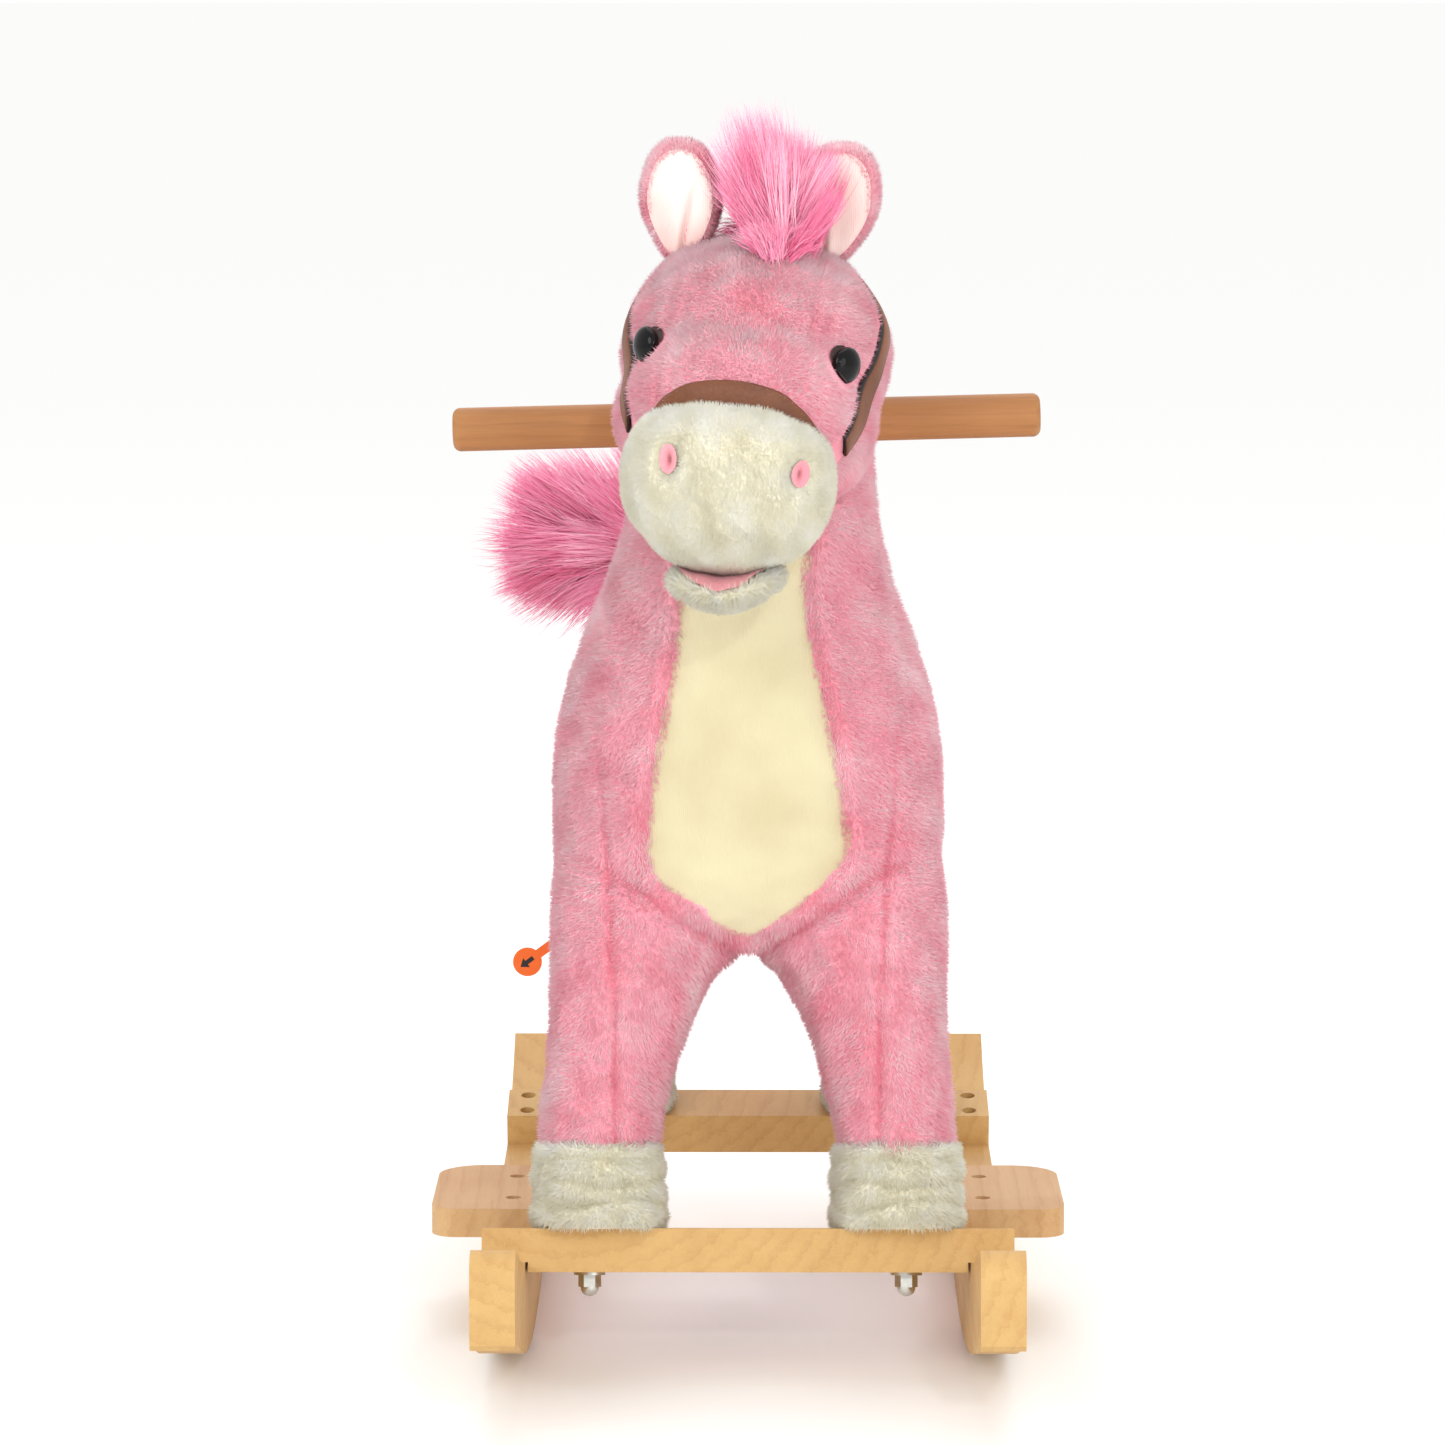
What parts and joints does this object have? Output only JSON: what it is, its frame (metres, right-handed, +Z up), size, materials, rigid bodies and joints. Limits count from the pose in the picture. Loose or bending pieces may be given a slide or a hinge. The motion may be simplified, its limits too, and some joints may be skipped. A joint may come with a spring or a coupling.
{
  "type": "plush rocking horse",
  "caption": "Plush rocking horse on a wooden rocker base, with a through handlebar, two footrests, a hinged jaw, a wagging tail and a sound unit",
  "frame": {"origin": "on the floor, at the middle of the object's plan box", "axes": "+X to the horse's left, the horse looks along -Y, +Z up; the rockers run along Y"},
  "size_m": [0.33, 0.6, 0.6339],
  "materials": {
    "wood_rocker": "satin",
    "wood_footrest": "satin",
    "wood_handle": "satin",
    "wood_frame": "matte",
    "zinc_steel": "satin",
    "pink_plush": "matte",
    "cream_plush": "matte",
    "chest_velour": "matte",
    "pink_hair": "matte",
    "mouth_felt": "matte",
    "brown_leather": "satin",
    "saddle_suede": "matte",
    "eye_black": "gloss",
    "white_plastic": "matte",
    "black_plastic": "matte",
    "tab_orange": "gloss",
    "cell_jacket": "satin",
    "board_green": "satin"
  },
  "bodies": {
    "horse": {"rocker_left": "wood_rocker", "rocker_right": "wood_rocker", "front_crosspiece": "wood_rocker", "rear_crosspiece": "wood_rocker", "footrest_left": "wood_footrest", "footrest_right": "wood_footrest", "footrest_screws": "zinc_steel", "crosspiece_screws": "zinc_steel", "leg_bolts": "zinc_steel", "leg_washers": "zinc_steel", "cap_nuts": "zinc_steel", "handlebar": "wood_handle", "front_post_left": "wood_frame", "front_post_right": "wood_frame", "rear_post_left": "wood_frame", "rear_post_right": "wood_frame", "front_brace": "wood_frame", "rear_brace": "wood_frame", "seat_board": "wood_frame", "neck_post": "wood_frame", "battery_case": "white_plastic", "battery_cover": "white_plastic", "batteries": "cell_jacket", "sound_board": "board_green", "speaker": "black_plastic", "tail_motor": "black_plastic", "mouth_motor": "black_plastic", "barrel_plush": "pink_plush", "neck_plush": "pink_plush", "head_plush": "pink_plush", "chest_panel": "chest_velour", "front_leg_left": "pink_plush", "front_leg_right": "pink_plush", "rear_leg_left": "pink_plush", "rear_leg_right": "pink_plush", "front_hooves": "cream_plush", "rear_hooves": "cream_plush", "muzzle_plush": "cream_plush", "jaw_bracket": "white_plastic", "jaw_pin": "zinc_steel", "eyes": "eye_black", "ear_left": "pink_plush", "ear_right": "pink_plush", "ear_linings": "cream_plush", "ear_switch": "black_plastic", "forelock": "pink_hair", "neck_mane": "pink_hair", "noseband": "brown_leather", "cheek_straps": "brown_leather", "saddle": "saddle_suede", "girth": "brown_leather", "tail_fork": "white_plastic", "tail_pin": "zinc_steel"},
    "jaw": {"jaw_plush": "cream_plush", "mouth_lining": "mouth_felt", "jaw_lever_arm": "white_plastic"},
    "tail": {"tail_core": "white_plastic", "tail_hair": "pink_hair"},
    "ear_button": {"ear_button": "white_plastic"},
    "pull_tab": {"pull_tab": "tab_orange"}
  },
  "joints": [
    {"name": "jaw_hinge", "type": "hinge", "parent": "horse", "child": "jaw", "pos_m": [-0.00259, -0.17137, 0.46426], "axis": [0.9899, -0.104, -0.0958], "range_deg": [-3, 10]},
    {"name": "tail_wag", "type": "hinge", "parent": "horse", "child": "tail", "pos_m": [0, 0.208, 0.365], "axis": [0, 0, -1], "range_deg": [-8, 50]},
    {"name": "ear_press", "type": "slide", "parent": "horse", "child": "ear_button", "axis": [0.1045, 0.9945, 0], "range_m": [0, 0.0012], "stiffness_N_per_m": 300, "springref_m": -0.0005},
    {"name": "tab_pull", "type": "slide", "parent": "horse", "child": "pull_tab", "axis": [-0.8039, 0, -0.5948], "range_m": [0, 0.03]}
  ]
}
